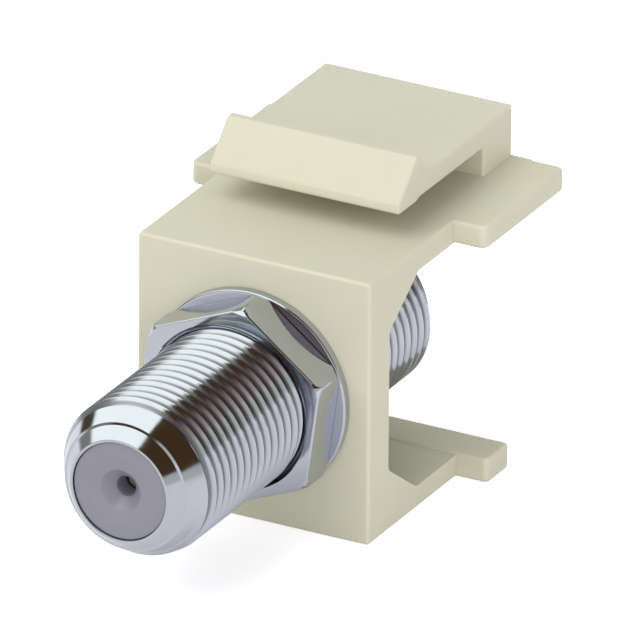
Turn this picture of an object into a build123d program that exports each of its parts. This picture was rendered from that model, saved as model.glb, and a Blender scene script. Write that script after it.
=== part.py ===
from build123d import *
import math
import os

# Snap-in insert that holds a double-ended coaxial F coupler.
# Origin on the coupler's axis at the insert's front face. +Z is up, -Y points out
# of the wall towards the room, and +X is to the right seen from the room.
# Millimetres.

# Insert body: front plate, top slab and bottom finger of one moulding
body_width = 14.8
body_height = 16.1
body_length = 19.6
axis_height = 8.1             # coupler axis above the underside
plate_depth = 2.35
slab_thickness = 1.38
finger_thickness = 1.35
finger_length = 13.25         # front face to the end of the bottom finger
body_edge_radius = 0.2
gusset_height = 2.4           # gussets from the plate to the slab and to the finger
gusset_length = 3.4
gusset_radius = 0.6

# Stops that stand out sideways
wing_reach = 2.05
wing_front = 9.97
wing_corner_radius = 0.5
tab_reach = 2.0
tab_front = 10.6
tab_thickness = 1.5
tab_corner_radius = 0.35
stop_edge_radius = 0.2

# Latch: rear post, spring arm and wedge lip
arm_width = 12.1
arm_gap = 1.75                # slot between slab and arm
arm_thickness = 1.35
arm_edge_radius = 0.2
post_depth = 3.45
post_root_radius = 0.4
lip_front = 5.9               # front face to the lip's foremost edge
lip_land_height = 0.65
lip_drop = 0.15               # lip's lower edge below the arm
lip_rise = 1.28               # lip's crest above the arm
lip_slope_length = 2.1
lip_crest_width = 0.5
lip_back_length = 0.5
lip_corner_radius = 0.25

# Coupler barrel
coupler_length = 28.85
front_reach = 15.7            # front face to the end of the front port
thread_radius = 4.7625
thread_pitch = 25.4 / 32
bore_radius = 3.3
mouth_radius = 2.95
mouth_lip = 0.35
rim_width = 0.15
nose_band_radius = 3.72       # front taper of the nose
nose_band_length = 0.66
nose_step_radius = 3.87       # small step between the nose's two tapers
nose_step_length = 0.1
nose_taper_radius = 4.47
nose_taper_length = 1.78
rear_chamfer = 0.5
relief_radius = 4.3
relief_length = 0.6

# Hexagons of the barrel's collar and of the nut
hex_flats = 11.0
collar_thickness = 2.6
pocket_floor = 1.4            # plate left in front of the collar
pocket_clearance = 0.1
hole_clearance = 0.1
corner_chamfer_radius = 6.0   # circle where a hexagon's corner chamfer starts
corner_chamfer_drop = 0.55
nut_thickness = 2.55
nut_turn = 22.4               # degrees from +X to a corner, as tightened
countersink_radius = 5.05
countersink_depth = 0.5
thread_clearance = 0.03

# Flat washer
washer_radius = 6.15
washer_thickness = 0.55
washer_hole_clearance = 0.1
washer_edge = 0.12

# Insulators and centre contact
insulator_clearance = 0.02
face_recess = 0.06
dish_radius = 1.4
dish_depth = 0.2
funnel_depth = 0.8
entry_radius = 0.6
entry_length = 0.9
contact_radius = 0.95
contact_bore_radius = 0.4
contact_setback = 0.15        # socket tip behind the entry hole
contact_lead = 0.15
socket_depth = 8.0
slot_width = 0.25
slot_length = 6.0
tine_clearance = 0.25
contact_collar_radius = 1.8
contact_collar_length = 1.2
collar_clearance = 0.03

# Levels that several pieces share
bottom = -axis_height
top = bottom + body_height
slab_under = top - slab_thickness
finger_top = bottom + finger_thickness
arm_under = top + arm_gap
arm_top = arm_under + arm_thickness
nose_y = -front_reach
rear_y = nose_y + coupler_length
middle_y = nose_y + coupler_length / 2
nut_back = -washer_thickness
nut_front = nut_back - nut_thickness
collar_front = pocket_floor
collar_back = collar_front + collar_thickness
thread_height = 0.6495 * thread_pitch
pitch_radius = thread_radius - thread_height / 2
same_place = 0.01             # two points nearer than this are one


def turned(points):
    """Solid turned about the coupler's axis from (radius, y) points."""
    with BuildPart() as body:
        with BuildSketch(Plane.XY):
            with BuildLine():
                Polyline(*points, close=True)
            make_face()
        revolve(axis=Axis.Y)
    return body.part


def side_cut(outline, width):
    """Solid from a (y, z) outline, centred on X = 0."""
    with BuildPart() as body:
        with BuildSketch(Plane.YZ):
            add(outline)
        extrude(amount=width / 2, both=True)
    return body.part


def hexagon(flats, front, back, turn):
    """Hexagonal prism along Y, with one corner at the angle turn from +X."""
    with BuildPart() as body:
        with BuildSketch(Plane.XZ.offset(-front)):
            RegularPolygon(flats / 2, 6, major_radius=False, rotation=turn)
        extrude(amount=front - back)
    return body.part


def chamfered_hexagon(front, back, turn):
    """Hexagon whose corners are turned down at both ends."""
    corner = hex_flats / math.sqrt(3)
    reach = 2 * corner - corner_chamfer_radius
    drop = 2 * corner_chamfer_drop
    blank = turned([
        (0, front),
        (corner_chamfer_radius, front),
        (reach, front + drop),
        (reach, back - drop),
        (corner_chamfer_radius, back),
        (0, back),
    ])
    return hexagon(hex_flats, front, back, turn) & blank


def box_between(x_half, y_range, z_range):
    """Box centred on X = 0 between two Y and two Z levels."""
    size = (2 * x_half, y_range[1] - y_range[0], z_range[1] - z_range[0])
    return Pos(0, sum(y_range) / 2, sum(z_range) / 2) * Box(*size)


def soft_front_box(x_half, y_range, z_range, radius):
    """Box with its front edges and its four long edges rounded."""
    box = box_between(x_half, y_range, z_range)
    front = box.faces().sort_by(Axis.Y)[0]
    return fillet(front.edges() + box.edges().filter_by(Axis.Y), radius)


def soft_plate(x_half, y_range, z_range, corner_radius, radius):
    """Flat plate with rounded upright corners and rounded rims."""
    box = box_between(x_half, y_range, z_range)
    plate = fillet(box.edges().filter_by(Axis.Z), corner_radius)
    faces = plate.faces().sort_by(Axis.Z)
    return fillet(faces[0].edges() + faces[-1].edges(), radius)


def body_outline():
    """C-shaped side outline of plate, slab, finger and their two gussets."""
    gusset_end = plate_depth + gusset_length
    ends = [
        (gusset_end, slab_under),
        (plate_depth, slab_under - gusset_height),
        (plate_depth, finger_top + gusset_height),
        (gusset_end, finger_top),
    ]
    with BuildSketch() as sketch:
        with BuildLine():
            Polyline(
                (0, bottom),
                (0, top),
                (body_length, top),
                (body_length, slab_under),
                *ends,
                (finger_length, finger_top),
                (finger_length, bottom),
                close=True,
            )
        make_face()
        corners = [sketch.vertices().sort_by_distance(end)[0] for end in ends]
        fillet(corners, gusset_radius)
    return sketch.sketch


def latch_outline():
    """Side outline of the rear post, the spring arm and the wedge lip."""
    lip_low = arm_under - lip_drop
    crest = arm_top + lip_rise
    crest_front = lip_front + lip_slope_length
    crest_back = crest_front + lip_crest_width
    post_front = body_length - post_depth
    with BuildSketch() as sketch:
        with BuildLine():
            Polyline(
                (body_length, slab_under),
                (body_length, arm_top),
                (crest_back + lip_back_length, arm_top),
                (crest_back, crest),
                (crest_front, crest),
                (lip_front, lip_low + lip_land_height),
                (lip_front, lip_low),
                (crest_front, lip_low),
                (crest_back, arm_under),
                (post_front, arm_under),
                (post_front, slab_under),
                close=True,
            )
        make_face()
        foot = sketch.vertices().filter_by(lambda v: v.X < lip_front + same_place)
        fillet(foot, lip_corner_radius)
        peak = sketch.vertices().filter_by(lambda v: v.Y > crest - same_place)
        fillet(peak, lip_crest_width / 3)
        root = sketch.vertices().sort_by_distance((post_front, arm_under))[0]
        fillet(root, post_root_radius)
    return sketch.sketch


def make_latch():
    """Post, arm and lip in one, with their side edges rounded."""
    blank = side_cut(latch_outline(), arm_width)
    sides = blank.faces().sort_by(Axis.X)
    return fillet(sides[0].edges() + sides[-1].edges(), arm_edge_radius)


def make_housing():
    """One-piece moulding: the C-shaped body, wings, tabs and latch, bored for the coupler."""
    half = body_width / 2
    body = side_cut(body_outline(), body_width)
    body = body & soft_front_box(half, (0, body_length + 1), (bottom, top), body_edge_radius)
    wings = soft_plate(half + wing_reach, (wing_front, body_length),
                       (slab_under, top), wing_corner_radius, stop_edge_radius)
    tabs = soft_plate(half + tab_reach, (tab_front, finger_length),
                      (bottom, bottom + tab_thickness), tab_corner_radius, stop_edge_radius)
    latch = make_latch()
    hole = Cylinder(thread_radius + hole_clearance, 2 * plate_depth, rotation=(90, 0, 0))
    pocket = hexagon(hex_flats + 2 * pocket_clearance, pocket_floor, body_length + 1, 30)
    return body + wings + tabs + latch - hole - pocket


def make_coupler_body():
    """Turned barrel with a thread at both ends and a hexagonal collar."""
    barrel = turned([
        (mouth_radius, nose_y),
        (mouth_radius + rim_width, nose_y),
        (nose_band_radius, nose_y + nose_band_length),
        (nose_step_radius, nose_y + nose_band_length + nose_step_length),
        (nose_taper_radius, nose_y + nose_taper_length),
        (thread_radius, nose_y + nose_taper_length + thread_radius - nose_taper_radius),
        (thread_radius, nut_front),
        (pitch_radius, nut_front),
        (pitch_radius, nut_back),
        (relief_radius, nut_back),
        (relief_radius, collar_back + relief_length),
        (thread_radius, collar_back + relief_length),
        (thread_radius, rear_y - rear_chamfer),
        (thread_radius - rear_chamfer, rear_y),
        (mouth_radius, rear_y),
        (mouth_radius, rear_y - mouth_lip),
        (bore_radius, rear_y - mouth_lip),
        (bore_radius, nose_y + mouth_lip),
        (mouth_radius, nose_y + mouth_lip),
    ])
    collar = chamfered_hexagon(collar_front, collar_back, 30)
    bore = Cylinder(bore_radius, coupler_length, rotation=(90, 0, 0))
    return barrel + (collar - bore)


def make_panel_nut():
    """Hexagon nut with a countersink on both faces, its thread taken at the pitch line."""
    blank = chamfered_hexagon(nut_front, nut_back, nut_turn)
    hole_radius = pitch_radius + thread_clearance
    hole = turned([
        (0, nut_front),
        (countersink_radius, nut_front),
        (hole_radius, nut_front + countersink_depth),
        (hole_radius, nut_back - countersink_depth),
        (countersink_radius, nut_back),
        (0, nut_back),
    ])
    return blank - hole


def make_flat_washer():
    """Round washer between nut and plate, its front edge broken."""
    hole_radius = thread_radius + washer_hole_clearance
    return turned([
        (hole_radius, nut_back),
        (washer_radius - washer_edge, nut_back),
        (washer_radius, nut_back + washer_edge),
        (washer_radius, 0),
        (hole_radius, 0),
    ])


def make_insulator():
    """Front half of the dielectric, with a funnel that guides the cable's centre wire."""
    outer = bore_radius - insulator_clearance
    shoulder = nose_y + mouth_lip
    face = nose_y + face_recess
    dish = face + dish_depth
    entry = dish + funnel_depth
    cavity = entry + entry_length
    seat = middle_y - contact_collar_length / 2 - collar_clearance
    return turned([
        (dish_radius, dish),
        (mouth_radius - insulator_clearance, face),
        (mouth_radius - insulator_clearance, shoulder),
        (outer, shoulder),
        (outer, middle_y),
        (contact_collar_radius + collar_clearance, middle_y),
        (contact_collar_radius + collar_clearance, seat),
        (contact_radius + tine_clearance, seat),
        (contact_radius + tine_clearance, cavity),
        (entry_radius, cavity),
        (entry_radius, entry),
    ])


def make_center_contact():
    """Double-ended socket: four sprung tines at each end and a collar in the middle."""
    tip = (nose_y + face_recess + dish_depth + funnel_depth + entry_length + contact_setback)
    collar_y = middle_y - contact_collar_length / 2
    half = turned([
        (0, middle_y),
        (contact_collar_radius, middle_y),
        (contact_collar_radius, collar_y),
        (contact_radius, collar_y),
        (contact_radius, tip),
        (contact_bore_radius + contact_lead, tip),
        (contact_bore_radius, tip + contact_lead),
        (contact_bore_radius, tip + socket_depth),
        (0, tip + socket_depth),
    ])
    for turn in (0, 90):
        slot = Box(2 * contact_collar_radius, 2 * slot_length, slot_width)
        half -= Pos(0, tip, 0) * Rot(0, turn, 0) * slot
    return half + half.mirror(Plane.XZ.offset(-middle_y))


def main():
    insulator = make_insulator()
    pieces = {
        "insert_housing": make_housing(),
        "coupler_body": make_coupler_body(),
        "panel_nut": make_panel_nut(),
        "flat_washer": make_flat_washer(),
        "front_insulator": insulator,
        "rear_insulator": insulator.mirror(Plane.XZ.offset(-middle_y)),
        "center_contact": make_center_contact(),
    }
    for name, solid in pieces.items():
        export_step(solid, f"parts/{name}.step")


os.makedirs("parts", exist_ok=True)
main()
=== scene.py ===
"""Dresses the snap-in coaxial F coupler insert: plated, threaded metal in a satin ivory moulding."""
import math

import bmesh
import bpy
from bpy.props import FloatProperty, FloatVectorProperty, IntProperty, PointerProperty
from mathutils import Matrix, Vector


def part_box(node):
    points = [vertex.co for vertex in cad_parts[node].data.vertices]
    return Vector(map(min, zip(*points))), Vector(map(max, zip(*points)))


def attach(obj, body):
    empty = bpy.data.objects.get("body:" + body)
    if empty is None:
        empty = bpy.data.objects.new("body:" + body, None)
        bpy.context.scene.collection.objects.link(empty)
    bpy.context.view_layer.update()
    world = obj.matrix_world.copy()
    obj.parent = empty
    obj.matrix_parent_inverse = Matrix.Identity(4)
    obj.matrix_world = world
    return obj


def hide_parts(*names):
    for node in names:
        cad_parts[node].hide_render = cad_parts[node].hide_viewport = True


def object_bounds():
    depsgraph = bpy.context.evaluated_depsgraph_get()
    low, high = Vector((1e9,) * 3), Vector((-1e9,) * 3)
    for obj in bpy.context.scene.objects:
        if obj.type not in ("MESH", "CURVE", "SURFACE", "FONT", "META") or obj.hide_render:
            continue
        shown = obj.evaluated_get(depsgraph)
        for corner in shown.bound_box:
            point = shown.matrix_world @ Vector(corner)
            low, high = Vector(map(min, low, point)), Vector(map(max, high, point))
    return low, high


bl_info = {
    "name": "Coaxial Coupler Insert",
    "version": (1, 0, 0),
    "blender": (4, 5, 0),
    "location": "3D View > Sidebar > Coupler",
    "description": "Threads, nut, washer, insulators and finishes of a snap-in coaxial coupler",
    "category": "Object",
}

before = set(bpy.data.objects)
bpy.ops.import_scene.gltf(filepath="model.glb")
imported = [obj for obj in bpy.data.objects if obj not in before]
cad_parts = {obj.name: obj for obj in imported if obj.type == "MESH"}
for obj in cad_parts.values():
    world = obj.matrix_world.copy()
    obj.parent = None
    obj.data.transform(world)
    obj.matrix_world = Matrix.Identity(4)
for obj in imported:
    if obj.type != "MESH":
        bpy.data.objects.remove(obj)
CAD_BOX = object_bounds()
MM = 0.001
POLE = 1e-7  # radius of a ring that merges into one point on the axis

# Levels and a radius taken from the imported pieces
NOSE_Y, REAR_Y = (corner[1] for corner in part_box("coupler_body"))
NUT_FRONT, NUT_BACK = (corner[1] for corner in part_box("panel_nut"))
WASHER_RADIUS, WASHER_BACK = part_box("flat_washer")[1][:2]
FLOOR_Z = CAD_BOX[0][2]

# Colours of the room that glossy rays see
CEILING = (1.55, 1.61, 1.50)
LEFT_WALL = (0.30, 0.31, 0.28)
LEFT_CORNER = (0.09, 0.07, 0.045)
CURTAIN = (0.075, 0.040, 0.018)
CURTAIN_FOLD = (0.48, 0.38, 0.38)
UNDER_CURTAIN = (0.62, 0.65, 0.60)
FRONT_PANEL = (0.07, 0.045, 0.03)
UNDER_PANEL = (0.85, 0.87, 0.82)
BACK_LEFT = (0.48, 0.52, 0.47)
BACK_RIGHT = (0.66, 0.69, 0.64)
BACK_CORNER = (0.38, 0.30, 0.26)
FAR_FLOOR = (0.95, 0.93, 0.97)

# Grey of the even surround that lights every other surface
SURROUND = (0.50, 0.50, 0.50)

# Name, place, width and power of each lamp, in metres and watts
LAMPS = (
    ("top_light", (-0.28, -0.5, 0.87), 1.0, 6.6),
    ("front_light", (0.54, -0.94, 0.1), 0.9, 5.2),
    ("side_light", (1.0, -0.2, 0.2), 0.9, 2.8),
    ("back_light", (-0.5, 0.9, 0.3), 0.9, 2.4),
)

# Camera: focal length and sensor in millimetres, place in metres, angles in radians
CAMERA_LENS = 1275.78
CAMERA_SENSOR = 36
CAMERA_PLACE = (0.544604, -1.019483, 0.533257)
CAMERA_TURN = 0.487401
CAMERA_DIP = 0.429226
CAMERA_ROLL = 0.008598


# Sizes and colours that a user may change


def length(name, description, default):
    return FloatProperty(name=name, description=description, default=default, min=0,
                         precision=5, unit="LENGTH", subtype="DISTANCE")


def share(name, description, default):
    return FloatProperty(name=name, description=description, default=default, min=0, max=1,
                         subtype="FACTOR")


def colour(name, description, default):
    return FloatVectorProperty(name=name, description=description, default=default, size=3,
                               min=0, max=1, subtype="COLOR")


class COUPLER_PG_thread(bpy.types.PropertyGroup):
    """The 3/8-32 thread of both ports and of the nut."""

    crest_radius: length("Crest radius", "Outer radius of the thread", 4.7625 * MM)
    pitch: length("Pitch", "Distance from one turn to the next", 25.4 * MM / 32)
    depth: length("Depth", "Height of the thread's profile", 0.4625 * MM)
    crest_flat: share("Crest flat", "Share of the pitch that is flat crest", 0.13)
    root_flat: share("Root flat", "Share of the pitch that is flat root", 0.15)
    clearance: length("Clearance", "Radial gap between the nut's thread and the barrel's", 0.03 * MM)
    around: IntProperty(name="Around", description="Vertices in one turn, a multiple of 12",
                        default=144, min=24, step=12)
    steps: IntProperty(name="Steps", description="Rows of vertices in one pitch", default=12, min=6)


class COUPLER_PG_barrel(bpy.types.PropertyGroup):
    """Sizes of the turned barrel."""

    mouth_radius: length("Mouth radius", "Radius of the opening at either end", 2.95 * MM)
    mouth_lip: length("Mouth lip", "Thickness of the lips that hold the insulators", 0.35 * MM)
    bore_radius: length("Bore radius", "Radius of the bore between the lips", 3.3 * MM)
    rim_radius: length("Rim radius", "Outer radius of the nose's flat rim", 3.1 * MM)
    taper_radius: length("Taper radius", "Radius at the end of the front taper", 3.72 * MM)
    taper_length: length("Taper length", "Length of the front taper", 0.7 * MM)
    step_height: length("Step height", "Height of the step between the nose's tapers", 0.15 * MM)
    step_length: length("Step length", "Length of the step between the nose's tapers", 0.06 * MM)
    nose_length: length("Nose length", "From the front end to the thread's start", 1.49 * MM)
    relief_length: length("Relief length", "From the collar to the rear thread", 0.6 * MM)
    rear_rim_radius: length("Rear rim radius", "Outer radius of the rear end", 4.2 * MM)
    rear_chamfer: length("Rear chamfer", "Length of the chamfer at the rear end", 0.2 * MM)
    collar_front: length("Collar front", "Level of the hexagonal collar's front face", 1.4 * MM)
    collar_back: length("Collar back", "Level of the hexagonal collar's back face", 4.0 * MM)


class COUPLER_PG_insulator(bpy.types.PropertyGroup):
    """Sizes of one insulator half. The crown is the highest ring of its face."""

    recess: length("Recess", "Depth of the crown below the barrel's end", 0.06 * MM)
    crown_radius: length("Crown radius", "Radius of the crown", 2.1 * MM)
    edge_drop: length("Edge drop", "Depth of the face's outer edge below the crown", 0.05 * MM)
    dish_depth: length("Dish depth", "Depth of the funnel's outer edge below the crown", 0.12 * MM)
    funnel_radius: length("Funnel radius", "Outer radius of the wire funnel", 1.25 * MM)
    funnel_depth: length("Funnel depth", "Depth of the funnel's end below the crown", 0.8 * MM)
    hole_radius: length("Hole radius", "Radius of the wire hole", 0.6 * MM)
    hole_depth: length("Hole depth", "Depth of the wire hole's end below the crown", 1.9 * MM)
    tine_radius: length("Tine bore radius", "Radius of the bore round the contact's tines", 1.2 * MM)
    pocket_radius: length("Pocket radius", "Radius of the pocket for the contact's collar", 1.83 * MM)
    pocket_depth: length("Pocket depth", "Depth of that pocket in each half", 0.63 * MM)
    clearance: length("Clearance", "Radial gap to the barrel", 0.02 * MM)


class COUPLER_PG_hardware(bpy.types.PropertyGroup):
    """Sizes of the nut and the washer."""

    hex_flats: length("Across flats", "Width of the nut and of the collar across flats", 11 * MM)
    nut_turn: FloatProperty(name="Nut turn", description="Angle from +X to one of the nut's corners",
                            default=math.radians(22.4), subtype="ANGLE", unit="ROTATION")
    chamfer_radius: length("Chamfer circle", "Radius where a hexagon's corner chamfer starts", 6 * MM)
    chamfer_drop: length("Chamfer drop", "Depth of the chamfer at a hexagon's corner", 0.55 * MM)
    countersink: length("Countersink", "Radius of the nut's thread entry", 5.05 * MM)
    countersink_slope: FloatProperty(name="Countersink slope", description="Radius over depth of the entry",
                                     default=1.7, min=0.5, max=4)
    edge: length("Broken edge", "Rounding of the nut's edges", 0.1 * MM)
    washer_hole: length("Washer hole", "Radius of the washer's hole", 4.8625 * MM)
    washer_edge: length("Washer edge", "Rounding of the washer's front rim", 0.14 * MM)


class COUPLER_PG_finish(bpy.types.PropertyGroup):
    """Colours and gloss of the finishes."""

    ivory: colour("Ivory plastic", "Colour of the moulded insert", (0.635, 0.623, 0.487))
    nickel: colour("Nickel", "Colour of the bright nickel plating", (0.52, 0.545, 0.60))
    dielectric: colour("Dielectric", "Colour of the insulators", (0.235, 0.235, 0.275))
    contact: colour("Contact", "Colour of the tinned contact", (0.80, 0.74, 0.60))
    floor: colour("Floor", "Colour of the studio floor", (0.90, 0.885, 0.91))
    ivory_roughness: share("Plastic roughness", "Roughness of the satin moulding", 0.55)
    nickel_roughness: share("Nickel roughness", "Roughness of the plating where it is brightest", 0.09)


# Node helpers


def add_node(tree, kind, inputs=None, **settings):
    """New node with its settings, and its inputs linked or filled by socket name or number."""
    node = tree.nodes.new(kind)
    for key, value in settings.items():
        setattr(node, key, value)
    for key, value in (inputs or {}).items():
        if isinstance(value, bpy.types.NodeSocket):
            tree.links.new(value, node.inputs[key])
        else:
            node.inputs[key].default_value = value
    return node


def calc(tree, operation, *values):
    """Result socket of one Math node."""
    node = add_node(tree, "ShaderNodeMath", dict(enumerate(values)), operation=operation)
    return node.outputs[0]


def step_between(tree, value, low, high, out=(0.0, 1.0)):
    """Smooth step of a value from low to high."""
    inputs = {"Value": value, "From Min": low, "From Max": high, "To Min": out[0], "To Max": out[1]}
    node = add_node(tree, "ShaderNodeMapRange", inputs, interpolation_type="SMOOTHSTEP")
    return node.outputs["Result"]


def mix_colour(tree, factor, a, b):
    """Result socket of a colour mix; a and b are sockets or colours."""
    node = tree.nodes.new("ShaderNodeMix")
    node.data_type = "RGBA"
    for socket, value in ((node.inputs[0], factor), (node.inputs[6], a), (node.inputs[7], b)):
        if isinstance(value, bpy.types.NodeSocket):
            tree.links.new(value, socket)
        else:
            socket.default_value = value if isinstance(value, (int, float)) else (*value[:3], 1)
    return node.outputs[2]


# Surface effects and finishes


def handling_group():
    """Shader group of the faint unevenness of a handled surface: cloudiness, fine grain and height."""
    name = "Handled Surface"
    if name in bpy.data.node_groups:
        return bpy.data.node_groups[name]
    group = bpy.data.node_groups.new(name, "ShaderNodeTree")
    for label, default in (("Cloud Scale", 300.0), ("Grain Scale", 6000.0), ("Grain Share", 0.3)):
        socket = group.interface.new_socket(label, in_out="INPUT", socket_type="NodeSocketFloat")
        socket.default_value = default
    for label in ("Cloud", "Grain", "Height"):
        group.interface.new_socket(label, in_out="OUTPUT", socket_type="NodeSocketFloat")
    start = add_node(group, "NodeGroupInput").outputs
    place = add_node(group, "ShaderNodeTexCoord").outputs["Object"]
    cloud = add_node(group, "ShaderNodeTexNoise", {"Vector": place, "Scale": start["Cloud Scale"],
                                                   "Detail": 3.0, "Roughness": 0.55}).outputs["Fac"]
    grain = add_node(group, "ShaderNodeTexNoise", {"Vector": place, "Scale": start["Grain Scale"],
                                                   "Detail": 2.0, "Roughness": 0.6}).outputs["Fac"]
    fine = calc(group, "MULTIPLY", grain, start["Grain Share"])
    height = calc(group, "ADD", cloud, fine)
    add_node(group, "NodeGroupOutput", {"Cloud": cloud, "Grain": grain, "Height": height})
    return group


def new_material(name, settings):
    """Material with one Principled shader, and constants set on its own sockets."""
    material = bpy.data.materials.new(name)
    material.use_nodes = True
    tree = material.node_tree
    shader = tree.nodes["Principled BSDF"]
    for key, value in settings.items():
        shader.inputs[key].default_value = value
    return material, tree, shader


def handled(tree, cloud_scale, grain_scale, grain_share):
    """Outputs of the handled surface group with this material's own scales."""
    node = add_node(tree, "ShaderNodeGroup", node_tree=handling_group())
    node.inputs["Cloud Scale"].default_value = cloud_scale
    node.inputs["Grain Scale"].default_value = grain_scale
    node.inputs["Grain Share"].default_value = grain_share
    return node.outputs


def add_bump(tree, shader, height, distance, strength):
    """Fine relief on the shader's normal."""
    bump = add_node(tree, "ShaderNodeBump", {"Height": height, "Distance": distance, "Strength": strength})
    tree.links.new(bump.outputs["Normal"], shader.inputs["Normal"])


def shade_range(tree, shader, base, factor, spread):
    """Base colour that swings a little either side of base."""
    dark = [c * (1 - spread) for c in base]
    light = [min(1.0, c * (1 + spread)) for c in base]
    tree.links.new(mix_colour(tree, factor, dark, light), shader.inputs["Base Color"])


def ivory_plastic(finish):
    """Satin moulded plastic, faintly cloudy, with a fine spark-eroded grain."""
    material, tree, shader = new_material("satin_ivory", {
        "IOR": 1.5, "Specular IOR Level": 0.3, "Subsurface Weight": 0.25, "Subsurface Scale": 0.0005,
        "Subsurface Radius": (1.0, 0.8, 0.5)})
    surface = handled(tree, cloud_scale=220.0, grain_scale=9000.0, grain_share=0.12)
    shade_range(tree, shader, finish.ivory, surface["Cloud"], spread=0.035)
    swing = 0.04
    rough = step_between(tree, surface["Grain"], 0.3, 0.7,
                         (finish.ivory_roughness - swing, finish.ivory_roughness + swing))
    tree.links.new(rough, shader.inputs["Roughness"])
    add_bump(tree, shader, surface["Height"], distance=0.06 * MM, strength=0.35)
    return material


def painted_root_shade_mask(tree, thread):
    """Mask of the painted shade in the threads' roots, by distance from the axis. It leaves out the nose
    and the bores.
    """
    root = thread.crest_radius - thread.depth
    place = add_node(tree, "ShaderNodeTexCoord").outputs["Object"]
    across = add_node(tree, "ShaderNodeVectorMath", {0: place, 1: (1.0, 0.0, 1.0)}, operation="MULTIPLY")
    distance = add_node(tree, "ShaderNodeVectorMath", {0: across.outputs[0]}, operation="LENGTH")
    radius = distance.outputs["Value"]
    level = add_node(tree, "ShaderNodeSeparateXYZ", {"Vector": place}).outputs["Y"]
    outside_bore = step_between(tree, radius, root - 0.03 * MM, root - 0.01 * MM)
    below_crest = step_between(tree, radius, root + 0.72 * thread.depth, root + 0.40 * thread.depth)
    past_nose = step_between(tree, level, NOSE_Y + 1.9 * MM, NOSE_Y + 2.3 * MM)
    return calc(tree, "MULTIPLY", calc(tree, "MULTIPLY", outside_bore, below_crest), past_nose)


def nickel_plate(scene):
    """Bright nickel plating over turned brass, with faint clouds of haze, and painted shade darkening the
    rougher thread roots.
    """
    finish = scene.coupler_finish
    material, tree, shader = new_material("bright_nickel", {"Metallic": 1.0, "IOR": 1.6})
    surface = handled(tree, cloud_scale=900.0, grain_scale=7000.0, grain_share=0.1)
    root_shade_and_haze = painted_root_shade_mask(tree, scene.coupler_thread)
    # The darker colour in the thread roots is painted shade; the roots' extra roughness is real
    bright, hazy, root_shade = ([c * level for c in finish.nickel] for level in (1.04, 0.96, 0.46))
    plating = mix_colour(tree, surface["Cloud"], bright, hazy)
    tree.links.new(mix_colour(tree, root_shade_and_haze, plating, root_shade), shader.inputs["Base Color"])
    haze, root_haze = 0.05, 0.2
    rough = step_between(tree, surface["Cloud"], 0.35, 0.75,
                         (finish.nickel_roughness, finish.nickel_roughness + haze))
    rough = calc(tree, "ADD", rough, calc(tree, "MULTIPLY", root_shade_and_haze, root_haze))
    tree.links.new(rough, shader.inputs["Roughness"])
    add_bump(tree, shader, surface["Height"], distance=0.01 * MM, strength=0.5)
    return material


def grey_dielectric(finish):
    """Smooth moulded insulator."""
    material, tree, shader = new_material("grey_insulation", {
        "IOR": 1.5, "Roughness": 0.33, "Subsurface Weight": 0.08, "Subsurface Scale": 0.0004})
    surface = handled(tree, cloud_scale=500.0, grain_scale=8000.0, grain_share=0.15)
    shade_range(tree, shader, finish.dielectric, surface["Cloud"], spread=0.05)
    add_bump(tree, shader, surface["Height"], distance=0.03 * MM, strength=0.3)
    return material


def contact_alloy(finish):
    """Tinned spring bronze, a little matt."""
    material, tree, shader = new_material("tinned_bronze", {"Metallic": 1.0})
    surface = handled(tree, cloud_scale=1500.0, grain_scale=9000.0, grain_share=0.3)
    shade_range(tree, shader, finish.contact, surface["Cloud"], spread=0.08)
    rough = step_between(tree, surface["Cloud"], 0.3, 0.7, (0.22, 0.36))
    tree.links.new(rough, shader.inputs["Roughness"])
    return material


def dress_node(name, material):
    """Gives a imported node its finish."""
    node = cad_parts[name]
    node.data.materials.clear()
    node.data.materials.append(material)


# Meshes


def new_piece(name, mesh, material, slot, *nodes):
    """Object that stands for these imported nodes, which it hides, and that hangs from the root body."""
    mesh.name = name
    piece = bpy.data.objects.new(name, mesh)
    bpy.context.scene.collection.objects.link(piece)
    mesh.materials.clear()
    mesh.materials.append(material)
    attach(piece, "root")
    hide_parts(*nodes)
    return piece


def soften_shading(mesh, angle):
    """Smooth shading with edges sharper than the angle kept crisp."""
    mesh.shade_smooth()
    mesh.set_sharp_from_angle(angle=math.radians(angle))


def weigh_normals(piece):
    """Normals that follow the large faces, so that narrow bevels read as bevels."""
    modifier = piece.modifiers.new("Weighted Normal", "WEIGHTED_NORMAL")
    modifier.keep_sharp = True
    modifier.weight = 80


def rounded_outline(points, closed=True, steps=4):
    """(radius, y) outline from (radius, y, corner radius), with those corners rounded."""
    corners = [(Vector(p[:2]), p[2] if len(p) > 2 else 0) for p in points]
    outline = []
    for i, (corner, radius) in enumerate(corners):
        open_end = not closed and i in (0, len(corners) - 1)
        if open_end or not radius:
            outline.append(corner)
            continue
        before = corners[i - 1][0] - corner
        after = corners[(i + 1) % len(corners)][0] - corner
        turn = math.pi - before.angle(after)
        reach = min(radius * math.tan(turn / 2), 0.45 * before.length, 0.45 * after.length)
        start = corner + before.normalized() * reach
        end = corner + after.normalized() * reach
        for k in range(steps + 1):
            t = k / steps
            outline.append((1 - t) ** 2 * start + 2 * t * (1 - t) * corner + t * t * end)
    return [(p.x, p.y) for p in outline]


def band_mesh(rows, around, closed):
    """Surface about the Y axis. A row is (radius, y), and its radius may be a function of the angle."""
    mesh = bmesh.new()
    rings = []
    for radius, y in rows:
        ring = []
        for i in range(around):
            angle = math.tau * i / around
            r = radius(angle) if callable(radius) else radius
            ring.append(mesh.verts.new((r * math.cos(angle), y, r * math.sin(angle))))
        rings.append(ring)
    pairs = list(zip(rings, rings[1:]))
    if closed:
        pairs.append((rings[-1], rings[0]))
    for low, high in pairs:
        for i in range(around):
            j = (i + 1) % around
            mesh.faces.new((low[i], low[j], high[j], high[i]))
    return mesh


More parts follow.
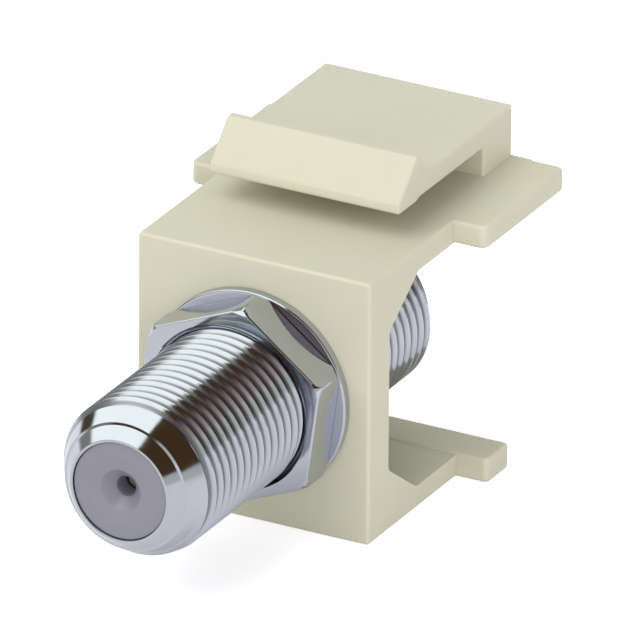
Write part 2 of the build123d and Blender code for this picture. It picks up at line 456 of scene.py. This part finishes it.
def finished_mesh(parts, name, merge=0.5e-6):
    """One mesh from bmeshes and meshes, with shared rings merged and faces outwards."""
    whole = bmesh.new()
    for part in parts:
        if isinstance(part, bmesh.types.BMesh):
            passing = bpy.data.meshes.new("passing")
            part.to_mesh(passing)
            part.free()
            part = passing
        whole.from_mesh(part)
        bpy.data.meshes.remove(part)
    bmesh.ops.remove_doubles(whole, verts=whole.verts, dist=merge)
    bmesh.ops.dissolve_degenerate(whole, edges=whole.edges, dist=1e-7)
    bmesh.ops.recalc_face_normals(whole, faces=whole.faces)
    mesh = bpy.data.meshes.new(name)
    whole.to_mesh(mesh)
    whole.free()
    return mesh


def evaluated_mesh(piece):
    """Plain mesh of an object with its modifiers applied."""
    depsgraph = bpy.context.evaluated_depsgraph_get()
    mesh = bpy.data.meshes.new_from_object(piece.evaluated_get(depsgraph))
    mesh.materials.clear()
    return mesh


def scratch_object(mesh):
    scratch = bpy.data.objects.new("scratch", mesh)
    bpy.context.scene.collection.objects.link(scratch)
    return scratch


def combined(mesh, tool_mesh, operation):
    """Result of an exact boolean of two meshes."""
    target, tool = scratch_object(mesh), scratch_object(tool_mesh)
    modifier = target.modifiers.new("Cut", "BOOLEAN")
    modifier.operation = operation
    modifier.solver = "EXACT"
    modifier.object = tool
    result = evaluated_mesh(target)
    bpy.data.objects.remove(target)
    bpy.data.objects.remove(tool)
    return result


def bevelled(mesh, width, angle):
    """Mesh with every edge sharper than the angle rounded."""
    target = scratch_object(mesh)
    modifier = target.modifiers.new("Edge", "BEVEL")
    modifier.width = width
    modifier.segments = 2
    modifier.limit_method = "ANGLE"
    modifier.angle_limit = math.radians(angle)
    result = evaluated_mesh(target)
    bpy.data.objects.remove(target)
    return result


# Thread


def thread_tree():
    """Geometry Nodes that cut a right-hand thread between two levels of the Y axis."""
    name = "Cut Thread"
    if name in bpy.data.node_groups:
        return bpy.data.node_groups[name]
    tree = bpy.data.node_groups.new(name, "GeometryNodeTree")
    tree.is_modifier = True
    for label in ("Start", "End", "Crest Radius", "Pitch", "Depth", "Crest Flat", "Root Flat",
                  "Start Radius", "End Radius", "Start Slope", "End Slope"):
        tree.interface.new_socket(label, in_out="INPUT", socket_type="NodeSocketFloat")
    for label in ("Around", "Steps"):
        tree.interface.new_socket(label, in_out="INPUT", socket_type="NodeSocketInt")
    tree.interface.new_socket("Internal", in_out="INPUT", socket_type="NodeSocketBool")
    tree.interface.new_socket("Material", in_out="INPUT", socket_type="NodeSocketMaterial")
    tree.interface.new_socket("Geometry", in_out="OUTPUT", socket_type="NodeSocketGeometry")
    size = add_node(tree, "NodeGroupInput").outputs

    first = calc(tree, "FLOOR", calc(tree, "DIVIDE", size["Start"], size["Pitch"]))
    last = calc(tree, "CEIL", calc(tree, "DIVIDE", size["End"], size["Pitch"]))
    turns = calc(tree, "ADD", calc(tree, "SUBTRACT", last, first), 1.0)
    rows = calc(tree, "ADD", calc(tree, "MULTIPLY", turns, size["Steps"]), 1.0)
    grid = add_node(tree, "GeometryNodeMeshGrid", {
        "Size X": 1.0, "Size Y": 1.0, "Vertices X": calc(tree, "ADD", size["Around"], 1.0),
        "Vertices Y": rows}).outputs["Mesh"]
    place = add_node(tree, "GeometryNodeInputPosition").outputs["Position"]
    spot = add_node(tree, "ShaderNodeSeparateXYZ", {"Vector": place}).outputs
    around = calc(tree, "ADD", spot["X"], 0.5)
    turn = calc(tree, "MULTIPLY", calc(tree, "ADD", spot["Y"], 0.5), turns)

    advance = calc(tree, "SUBTRACT", calc(tree, "ADD", first, turn), around)
    level = calc(tree, "MULTIPLY", advance, size["Pitch"])
    level = calc(tree, "MAXIMUM", calc(tree, "MINIMUM", level, size["End"]), size["Start"])
    phase = calc(tree, "FRACT", turn)
    from_crest = calc(tree, "MULTIPLY", calc(tree, "ABSOLUTE", calc(tree, "SUBTRACT", phase, 0.5)), 2.0)
    profile = add_node(tree, "ShaderNodeMapRange", {
        "Value": from_crest, "From Min": size["Crest Flat"],
        "From Max": calc(tree, "SUBTRACT", 1.0, size["Root Flat"])}).outputs["Result"]
    thread = calc(tree, "SUBTRACT", size["Crest Radius"], calc(tree, "MULTIPLY", size["Depth"], profile))

    from_start = calc(tree, "MULTIPLY", calc(tree, "SUBTRACT", level, size["Start"]), size["Start Slope"])
    from_end = calc(tree, "MULTIPLY", calc(tree, "SUBTRACT", size["End"], level), size["End Slope"])
    outer = calc(tree, "MINIMUM", calc(tree, "ADD", size["Start Radius"], from_start),
                 calc(tree, "ADD", size["End Radius"], from_end))
    inner = calc(tree, "MAXIMUM", calc(tree, "SUBTRACT", size["Start Radius"], from_start),
                 calc(tree, "SUBTRACT", size["End Radius"], from_end))
    radius = add_node(tree, "GeometryNodeSwitch", {
        "Switch": size["Internal"], "False": calc(tree, "MINIMUM", thread, outer),
        "True": calc(tree, "MAXIMUM", thread, inner)}, input_type="FLOAT").outputs["Output"]
    angle = calc(tree, "MULTIPLY", around, math.tau)
    target = add_node(tree, "ShaderNodeCombineXYZ", {
        "X": calc(tree, "MULTIPLY", radius, calc(tree, "COSINE", angle)), "Y": level,
        "Z": calc(tree, "MULTIPLY", radius, calc(tree, "SINE", angle))}).outputs["Vector"]
    shaped = add_node(tree, "GeometryNodeSetPosition", {"Geometry": grid, "Position": target})
    merged = add_node(tree, "GeometryNodeMergeByDistance", {"Geometry": shaped.outputs["Geometry"],
                                                            "Distance": 1e-7})
    real = add_node(tree, "GeometryNodeRealizeInstances", {"Geometry": merged.outputs["Geometry"]})
    finish = add_node(tree, "GeometryNodeSetMaterial", {"Geometry": real.outputs["Geometry"],
                                                        "Material": size["Material"]})
    add_node(tree, "NodeGroupOutput", {"Geometry": finish.outputs["Geometry"]})
    return tree


def cut_thread(material, **values):
    """Mesh of one thread. Values are the tree's inputs by name."""
    scratch = scratch_object(bpy.data.meshes.new("thread"))
    modifier = scratch.modifiers.new("Thread", "NODES")
    modifier.node_group = thread_tree()
    thread = bpy.context.scene.coupler_thread
    values = {"Crest Radius": thread.crest_radius, "Pitch": thread.pitch, "Depth": thread.depth,
              "Crest Flat": thread.crest_flat, "Root Flat": thread.root_flat,
              "Around": thread.around, "Steps": thread.steps, "Material": material, **values}
    for item in modifier.node_group.interface.items_tree:
        if item.in_out == "INPUT" and item.name in values:
            modifier[item.identifier] = values[item.name]
    mesh = evaluated_mesh(scratch)
    bpy.data.objects.remove(scratch)
    return mesh


# Pieces


def hexagon_radius(flats, turn):
    """Radius of a hexagon by angle, with one corner at the angle turn."""
    def radius(angle):
        from_flat = (angle - turn) % math.radians(60) - math.radians(30)
        return flats / 2 / math.cos(from_flat)
    return radius


def collar_rows(barrel, hardware, root):
    """Rows of the barrel between its two threads, with the chamfered hexagonal collar."""
    corner = hardware.hex_flats / math.sqrt(3)
    hexagon = hexagon_radius(hardware.hex_flats, math.radians(30))
    steps = 4
    chamfer = []
    for k in range(steps + 1):
        limit = hardware.chamfer_radius + (corner - hardware.chamfer_radius) * k / steps
        drop = hardware.chamfer_drop * k / steps
        chamfer.append((lambda a, limit=limit: min(hexagon(a), limit), drop))
    front = [(radius, barrel.collar_front + drop) for radius, drop in chamfer]
    back = [(radius, barrel.collar_back - drop) for radius, drop in reversed(chamfer)]
    return [(root, NUT_BACK), (root, barrel.collar_front), *front, *back,
            (root, barrel.collar_back), (root, barrel.collar_back + barrel.relief_length)]


class COUPLER_OT_housing(bpy.types.Operator):
    """Gives the one-piece insert its satin ivory finish."""

    bl_idname = "coupler.housing"
    bl_label = "Finish Housing"

    def execute(self, context):
        dress_node("insert_housing", ivory_plastic(context.scene.coupler_finish))
        return {"FINISHED"}


class COUPLER_OT_barrel(bpy.types.Operator):
    """Makes the plated barrel, with both threads cut."""

    bl_idname = "coupler.barrel"
    bl_label = "Make Barrel"

    def execute(self, context):
        thread = context.scene.coupler_thread
        barrel = context.scene.coupler_barrel
        material = nickel_plate(context.scene)
        root = thread.crest_radius - thread.depth
        taper_end = NOSE_Y + barrel.taper_length
        front_start = NOSE_Y + barrel.nose_length
        rear_start = barrel.collar_back + barrel.relief_length
        rear_end = REAR_Y - barrel.rear_chamfer
        ends = rounded_outline([
            (root, front_start),
            (barrel.taper_radius + barrel.step_height, taper_end + barrel.step_length, 0.03 * MM),
            (barrel.taper_radius, taper_end, 0.03 * MM),
            (barrel.rim_radius, NOSE_Y, 0.06 * MM),
            (barrel.mouth_radius, NOSE_Y, 0.04 * MM),
            (barrel.mouth_radius, NOSE_Y + barrel.mouth_lip),
            (barrel.bore_radius, NOSE_Y + barrel.mouth_lip),
            (barrel.bore_radius, REAR_Y - barrel.mouth_lip),
            (barrel.mouth_radius, REAR_Y - barrel.mouth_lip),
            (barrel.mouth_radius, REAR_Y, 0.05 * MM),
            (barrel.rear_rim_radius, REAR_Y, 0.08 * MM),
            (root, rear_end),
        ], closed=False)
        both = {"Start Radius": root, "End Radius": root}
        front = cut_thread(material, **both, **{
            "Start": front_start, "End": NUT_BACK, "Start Slope": 0.6, "End Slope": 1.5})
        rear = cut_thread(material, **both, **{
            "Start": rear_start, "End": rear_end, "Start Slope": 1.5, "End Slope": 1.6})
        rows = collar_rows(barrel, context.scene.coupler_hardware, root)
        middle = band_mesh(rows, thread.around, closed=False)
        shell = band_mesh(ends, thread.around, closed=False)
        mesh = finished_mesh([shell, front, middle, rear], "coupler_barrel")
        soften_shading(mesh, angle=24)
        weigh_normals(new_piece("coupler_barrel", mesh, material, "nickel_plate", "coupler_body"))
        return {"FINISHED"}


class COUPLER_OT_nut(bpy.types.Operator):
    """Makes the hexagon nut, with turned corners and a cut thread."""

    bl_idname = "coupler.nut"
    bl_label = "Make Nut"

    def execute(self, context):
        thread = context.scene.coupler_thread
        hardware = context.scene.coupler_hardware
        material = bpy.data.materials["bright_nickel"]
        front, back = NUT_FRONT, NUT_BACK
        corner = hardware.hex_flats / math.sqrt(3)

        prism = bmesh.new()
        sides = [hardware.nut_turn + math.radians(60) * k for k in range(6)]
        rings = [[prism.verts.new((corner * math.cos(a), y, corner * math.sin(a))) for a in sides]
                 for y in (front, back)]
        for ring in rings:
            prism.faces.new(ring)
        for k in range(6):
            m = (k + 1) % 6
            prism.faces.new((rings[0][k], rings[0][m], rings[1][m], rings[1][k]))
        hexagon = bevelled(finished_mesh([prism], "prism"), hardware.edge, angle=22)

        # The turned blank stands past both faces, and its cones are narrower there
        spill, narrowing = 0.01 * MM, 0.0064 * MM
        end_radius = hardware.chamfer_radius - narrowing
        reach = 2 * corner - hardware.chamfer_radius
        drop = 2 * hardware.chamfer_drop
        blank = band_mesh([
            (POLE, front - spill), (end_radius, front - spill), (reach, front + drop),
            (reach, back - drop), (end_radius, back + spill), (POLE, back + spill),
        ], around=180, closed=True)
        body = combined(hexagon, finished_mesh([blank], "blank", merge=1e-6), "INTERSECT")

        # The threaded plug that cuts the hole stands past both faces too
        past = 0.3 * MM
        slope = hardware.countersink_slope
        entry = hardware.countersink + slope * past
        hole = cut_thread(material, **{
            "Start": front - past, "End": back + past, "Start Radius": entry, "End Radius": entry,
            "Start Slope": slope, "End Slope": slope, "Internal": True,
            "Crest Radius": thread.crest_radius + thread.clearance})
        caps = [band_mesh([(POLE, y), (entry, y)], thread.around, closed=False)
                for y in (front - past, back + past)]
        plug = finished_mesh([hole, *caps], "plug", merge=1e-6)
        mesh = combined(body, plug, "DIFFERENCE")
        soften_shading(mesh, angle=50)
        weigh_normals(new_piece("hexagon_nut", mesh, material, "nickel_plate", "panel_nut"))
        return {"FINISHED"}


class COUPLER_OT_washer(bpy.types.Operator):
    """Makes the flat washer with its edges broken."""

    bl_idname = "coupler.washer"
    bl_label = "Make Washer"

    def execute(self, context):
        hardware = context.scene.coupler_hardware
        outline = rounded_outline([
            (hardware.washer_hole, NUT_BACK, 0.05 * MM),
            (WASHER_RADIUS, NUT_BACK, hardware.washer_edge),
            (WASHER_RADIUS, WASHER_BACK, 0.04 * MM),
            (hardware.washer_hole, WASHER_BACK, 0.04 * MM),
        ], steps=5)
        mesh = finished_mesh([band_mesh(outline, around=180, closed=True)], "washer_disc")
        soften_shading(mesh, angle=40)
        material = bpy.data.materials["bright_nickel"]
        weigh_normals(new_piece("washer_disc", mesh, material, "nickel_plate", "flat_washer"))
        return {"FINISHED"}


class COUPLER_OT_insulators(bpy.types.Operator):
    """Makes both insulator halves, each with its dished face and wire funnel."""

    bl_idname = "coupler.insulators"
    bl_label = "Make Insulators"

    def execute(self, context):
        material = grey_dielectric(context.scene.coupler_finish)
        size = context.scene.coupler_insulator
        barrel = context.scene.coupler_barrel
        middle = (NOSE_Y + REAR_Y) / 2
        crown = NOSE_Y + size.recess
        shoulder = NOSE_Y + barrel.mouth_lip
        neck_radius = barrel.mouth_radius - size.clearance
        body_radius = barrel.bore_radius - size.clearance
        outline = rounded_outline([
            (size.funnel_radius, crown + size.dish_depth, 0.15 * MM),
            (size.crown_radius, crown, 0.8 * MM),
            (neck_radius, crown + size.edge_drop, 0.1 * MM),
            (neck_radius, shoulder),
            (body_radius, shoulder),
            (body_radius, middle),
            (size.pocket_radius, middle),
            (size.pocket_radius, middle - size.pocket_depth),
            (size.tine_radius, middle - size.pocket_depth),
            (size.tine_radius, crown + size.hole_depth),
            (size.hole_radius, crown + size.hole_depth),
            (size.hole_radius, crown + size.funnel_depth, 0.12 * MM),
        ], steps=6)
        half = finished_mesh([band_mesh(outline, around=128, closed=True)], "insulator")
        soften_shading(half, angle=45)
        other = half.copy()
        for vertex in other.vertices:
            vertex.co.y = 2 * middle - vertex.co.y
        other.flip_normals()
        new_piece("front_dielectric", half, material, "grey_dielectric", "front_insulator")
        new_piece("rear_dielectric", other, material, "grey_dielectric", "rear_insulator")
        return {"FINISHED"}


class COUPLER_OT_contact(bpy.types.Operator):
    """Gives the centre contact its tinned finish."""

    bl_idname = "coupler.contact"
    bl_label = "Finish Contact"

    def execute(self, context):
        dress_node("center_contact", contact_alloy(context.scene.coupler_finish))
        return {"FINISHED"}


# Stage


def studio_world():
    """White for the camera, an even grey for the light. Glossy rays see a room, with y to its back."""
    world = bpy.data.worlds.new("Studio")
    bpy.context.scene.world = world
    world.use_nodes = True
    tree = world.node_tree
    tree.nodes.clear()
    place = add_node(tree, "ShaderNodeTexCoord").outputs["Generated"]
    way = add_node(tree, "ShaderNodeSeparateXYZ", {"Vector": place}).outputs
    x, y, z = way["X"], way["Y"], way["Z"]

    # The ceiling's right edge slopes, so left and right part at a slanted plane
    slant = calc(tree, "ADD", calc(tree, "MULTIPLY", x, -0.927), calc(tree, "MULTIPLY", z, 0.375))
    on_left = step_between(tree, slant, 0.21, 0.27)
    wall = mix_colour(tree, step_between(tree, y, 0.1, 0.25), LEFT_WALL, LEFT_CORNER)
    height = calc(tree, "ADD", z, step_between(tree, y, -0.6, -0.2, (0.0, 0.10)))
    left = mix_colour(tree, step_between(tree, height, 0.37, 0.46), wall, CEILING)

    in_fold = calc(tree, "MULTIPLY", step_between(tree, x, 0.12, 0.38), step_between(tree, y, -0.60, -0.75))
    cloth = mix_colour(tree, in_fold, CURTAIN, CURTAIN_FOLD)
    right = mix_colour(tree, step_between(tree, z, 0.20, 0.27), UNDER_CURTAIN, cloth)
    sides = mix_colour(tree, on_left, right, left)

    ahead = calc(tree, "MULTIPLY", step_between(tree, y, -0.72, -0.80), step_between(tree, z, 0.42, 0.36))
    ahead = calc(tree, "MULTIPLY", ahead, step_between(tree, x, 0.0, -0.2))
    panel = mix_colour(tree, step_between(tree, z, 0.12, 0.20), UNDER_PANEL, FRONT_PANEL)
    front = mix_colour(tree, ahead, sides, panel)

    back_right = mix_colour(tree, step_between(tree, slant, 0.03, -0.05), BACK_CORNER, BACK_RIGHT)
    back = mix_colour(tree, on_left, back_right, BACK_LEFT)
    room = mix_colour(tree, step_between(tree, y, 0.40, 0.58), front, back)
    shiny = mix_colour(tree, step_between(tree, z, -0.02, 0.06), FAR_FLOOR, room)

    path = add_node(tree, "ShaderNodeLightPath").outputs
    seen = mix_colour(tree, path["Is Glossy Ray"], SURROUND, shiny)
    clear = calc(tree, "MAXIMUM", path["Is Camera Ray"], path["Is Transmission Ray"])
    shown = mix_colour(tree, clear, seen, (1.0, 1.0, 1.0))
    background = add_node(tree, "ShaderNodeBackground", {"Color": shown, "Strength": 1.0})
    add_node(tree, "ShaderNodeOutputWorld", {"Surface": background.outputs["Background"]})


def studio_floor(finish):
    """Pale floor that the camera sees as white and that keeps a faint shadow."""
    material, tree, shader = new_material("studio_floor", {"Roughness": 0.9, "Specular IOR Level": 0.0})
    shader.inputs["Base Color"].default_value = (*finish.floor, 1)
    path = add_node(tree, "ShaderNodeLightPath").outputs
    shader.inputs["Emission Color"].default_value = (1, 1, 1, 1)
    place = add_node(tree, "ShaderNodeTexCoord").outputs["Object"]
    level = add_node(tree, "ShaderNodeSeparateXYZ", {"Vector": place}).outputs["Y"]
    in_camera, in_metal = 0.55, 0.22
    sheen = step_between(tree, level, -0.04, 0.02, (0.0, in_metal))
    sheen = calc(tree, "MULTIPLY", path["Is Glossy Ray"], sheen)
    glow = calc(tree, "ADD", calc(tree, "MULTIPLY", path["Is Camera Ray"], in_camera), sheen)
    tree.links.new(glow, shader.inputs["Emission Strength"])
    mesh = bpy.data.meshes.new("studio_floor")
    reach = 3.0
    corners = [(reach * i, reach * j, FLOOR_Z) for i, j in ((-1, -1), (1, -1), (1, 1), (-1, 1))]
    mesh.from_pydata(corners, [], [(0, 1, 2, 3)])
    mesh.materials.append(material)
    floor = bpy.data.objects.new("studio_floor", mesh)
    bpy.context.scene.collection.objects.link(floor)


def soft_light(name, place, size, power):
    """Square area light aimed at the coupler, unseen by glossy rays."""
    data = bpy.data.lights.new(name, "AREA")
    data.size = size
    data.energy = power
    lamp = bpy.data.objects.new(name, data)
    lamp.location = place
    lamp.rotation_euler = (-Vector(place)).to_track_quat("-Z", "Y").to_euler()
    lamp.visible_glossy = False
    lamp.visible_camera = False
    bpy.context.scene.collection.objects.link(lamp)


def photo_camera():
    """Long-lens camera at the photograph's viewing angle."""
    data = bpy.data.cameras.new("photo_camera")
    data.sensor_width = CAMERA_SENSOR
    data.lens = CAMERA_LENS
    data.clip_start = 0.05
    data.clip_end = 20
    camera = bpy.data.objects.new("photo_camera", data)
    turn = Matrix.Rotation(CAMERA_TURN, 4, "Z")
    dip = Matrix.Rotation(math.pi / 2 - CAMERA_DIP, 4, "X")
    roll = Matrix.Rotation(CAMERA_ROLL, 4, "Z")
    camera.matrix_world = Matrix.Translation(CAMERA_PLACE) @ turn @ dip @ roll
    bpy.context.scene.collection.objects.link(camera)
    bpy.context.scene.camera = camera


class COUPLER_OT_stage(bpy.types.Operator):
    """Sets the floor, the soft light and the camera."""

    bl_idname = "coupler.stage"
    bl_label = "Set Stage"

    def execute(self, context):
        context.scene.view_settings.view_transform = "Standard"
        studio_world()
        studio_floor(context.scene.coupler_finish)
        for name, place, size, power in LAMPS:
            soft_light(name, place, size, power)
        photo_camera()
        return {"FINISHED"}


class COUPLER_PT_panel(bpy.types.Panel):
    """Lists the pieces, their sizes and their finishes."""

    bl_idname = "COUPLER_PT_panel"
    bl_label = "Coaxial Coupler"
    bl_space_type = "VIEW_3D"
    bl_region_type = "UI"
    bl_category = "Coupler"

    def draw(self, context):
        for group_name in GROUPS:
            group = getattr(context.scene, group_name)
            box = self.layout.box()
            for name in group.bl_rna.properties.keys():
                if name not in ("rna_type", "name"):
                    box.prop(group, name)
        for operator in OPERATORS:
            self.layout.operator(operator.bl_idname)


OPERATORS = (COUPLER_OT_housing, COUPLER_OT_barrel, COUPLER_OT_nut, COUPLER_OT_washer,
             COUPLER_OT_insulators, COUPLER_OT_contact, COUPLER_OT_stage)
GROUPS = {"coupler_thread": COUPLER_PG_thread, "coupler_barrel": COUPLER_PG_barrel,
          "coupler_insulator": COUPLER_PG_insulator, "coupler_hardware": COUPLER_PG_hardware,
          "coupler_finish": COUPLER_PG_finish}


def register():
    for cls in (*GROUPS.values(), *OPERATORS, COUPLER_PT_panel):
        bpy.utils.register_class(cls)
    for name, group in GROUPS.items():
        setattr(bpy.types.Scene, name, PointerProperty(type=group))


def unregister():
    for name in GROUPS:
        delattr(bpy.types.Scene, name)
    for cls in reversed((*GROUPS.values(), *OPERATORS, COUPLER_PT_panel)):
        bpy.utils.unregister_class(cls)


def main():
    """Makes every piece and the stage."""
    register()
    bpy.ops.coupler.housing()
    bpy.ops.coupler.barrel()
    bpy.ops.coupler.nut()
    bpy.ops.coupler.washer()
    bpy.ops.coupler.insulators()
    bpy.ops.coupler.contact()
    bpy.ops.coupler.stage()


if __name__ == "__main__":
    main()
